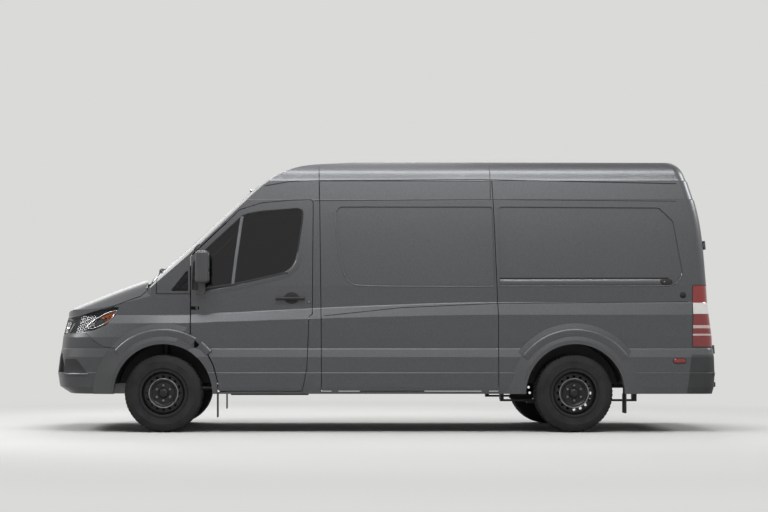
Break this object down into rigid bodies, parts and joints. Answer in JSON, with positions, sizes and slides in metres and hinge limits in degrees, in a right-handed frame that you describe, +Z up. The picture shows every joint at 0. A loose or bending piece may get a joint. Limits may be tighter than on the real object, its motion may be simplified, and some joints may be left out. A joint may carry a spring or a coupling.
{
  "type": "panel van",
  "caption": "Long standard-roof panel van with hinged cab doors, sliding side doors, two rear doors, bonnet and four road wheels, two of them steering.",
  "frame": {"origin": "on the ground under the middle of the van's length and width", "axes": "+X forward, +Y to the van's left, +Z up"},
  "size_m": [6.039, 2.39, 2.462],
  "materials": {
    "body_paint": "satin metallic",
    "painted_plastic": "satin metallic",
    "inner_paint": "matt",
    "black_plastic": "grained",
    "black_steel": "matt",
    "dull_steel": "dull",
    "cast_aluminium": "as cast",
    "cast_iron": "rough",
    "wheel_steel": "satin",
    "tyre_rubber": "matt",
    "window_glass": "tinted",
    "clear_lens": "clear",
    "red_lens": "clear red",
    "seat_fabric": "woven"
  },
  "bodies": {
    "van_body": {"side_panel_left": "body_paint", "side_panel_right": "body_paint", "roof_panel": "body_paint", "rear_frame": "body_paint", "wing_left": "body_paint", "wing_right": "body_paint", "sliding_door_left": "body_paint", "sliding_door_right": "body_paint", "front_bumper": "painted_plastic", "grille": "black_plastic", "cowl": "black_plastic", "rear_bumper": "black_plastic", "wheel_boxes": "black_plastic", "sliding_door_handle": "black_plastic", "intake": "black_plastic", "dashboard": "black_plastic", "fuel_tank": "black_plastic", "headlamps": "clear_lens", "tail_lamps": "red_lens", "fixed_glass": "window_glass", "cab_frame": "inner_paint", "floor": "inner_paint", "partition": "inner_paint", "chassis_frame": "black_steel", "front_suspension": "black_steel", "rear_axle": "black_steel", "seat_bases": "black_steel", "exhaust": "dull_steel", "powertrain": "cast_aluminium", "seat_cushions": "seat_fabric"},
    "bonnet": {"bonnet": "body_paint"},
    "knuckle_left": {"knuckle_left": "cast_iron"},
    "knuckle_right": {"knuckle_right": "cast_iron"},
    "front_door_left": {"front_door_left": "body_paint", "door_glass_left": "window_glass", "mirror_left": "painted_plastic", "door_handle_left": "black_plastic"},
    "rear_door_left": {"rear_door_left": "body_paint"},
    "wheel_front_left": {"rim_front_left": "wheel_steel", "tyre_front_left": "tyre_rubber"},
    "wheel_rear_left": {"rim_rear_left": "wheel_steel", "tyre_rear_left": "tyre_rubber"},
    "front_door_right": {"front_door_right": "body_paint", "door_glass_right": "window_glass", "mirror_right": "painted_plastic", "door_handle_right": "black_plastic"},
    "rear_door_right": {"rear_door_right": "body_paint"},
    "wheel_front_right": {"rim_front_right": "wheel_steel", "tyre_front_right": "tyre_rubber"},
    "wheel_rear_right": {"rim_rear_right": "wheel_steel", "tyre_rear_right": "tyre_rubber"}
  },
  "joints": [
    {"name": "front_door_left_hinge", "type": "hinge", "parent": "van_body", "child": "front_door_left", "pos_m": [1.6925, 0.946, 0.865], "axis": [0, 0.0529, -0.9986], "range_deg": [0, 70]},
    {"name": "front_door_right_hinge", "type": "hinge", "parent": "van_body", "child": "front_door_right", "pos_m": [1.6925, -0.946, 0.865], "axis": [0, 0.0529, 0.9986], "range_deg": [0, 70]},
    {"name": "rear_door_left_hinge", "type": "hinge", "parent": "van_body", "child": "rear_door_left", "pos_m": [-2.9465, 0.816, 0.74], "axis": [-0.0872, 0, -0.9962], "range_deg": [0, 180]},
    {"name": "rear_door_right_hinge", "type": "hinge", "parent": "van_body", "child": "rear_door_right", "pos_m": [-2.9465, -0.816, 0.74], "axis": [0.0872, 0, 0.9962], "range_deg": [0, 180]},
    {"name": "bonnet_hinge", "type": "hinge", "parent": "van_body", "child": "bonnet", "pos_m": [2.1355, 0, 1.3], "axis": [0, -1, 0], "range_deg": [0, 48]},
    {"name": "steer_left", "type": "hinge", "parent": "van_body", "child": "knuckle_left", "pos_m": [1.9895, 0.84, 0.351], "axis": [0, 0, 1], "range_deg": [-35, 35]},
    {"name": "spin_front_left", "type": "hinge", "parent": "knuckle_left", "child": "wheel_front_left", "pos_m": [1.9895, 0.855, 0.351], "axis": [0, 1, 0], "continuous": true},
    {"name": "spin_rear_left", "type": "hinge", "parent": "van_body", "child": "wheel_rear_left", "pos_m": [-1.6755, 0.855, 0.351], "axis": [0, 1, 0], "continuous": true},
    {"name": "steer_right", "type": "hinge", "parent": "van_body", "child": "knuckle_right", "pos_m": [1.9895, -0.84, 0.351], "axis": [0, 0, 1], "range_deg": [-35, 35]},
    {"name": "spin_front_right", "type": "hinge", "parent": "knuckle_right", "child": "wheel_front_right", "pos_m": [1.9895, -0.855, 0.351], "axis": [0, 1, 0], "continuous": true},
    {"name": "spin_rear_right", "type": "hinge", "parent": "van_body", "child": "wheel_rear_right", "pos_m": [-1.6755, -0.855, 0.351], "axis": [0, 1, 0], "continuous": true}
  ],
  "couplings": [
    {"joint": "steer_right", "follows": "steer_left", "ratio": 1}
  ]
}
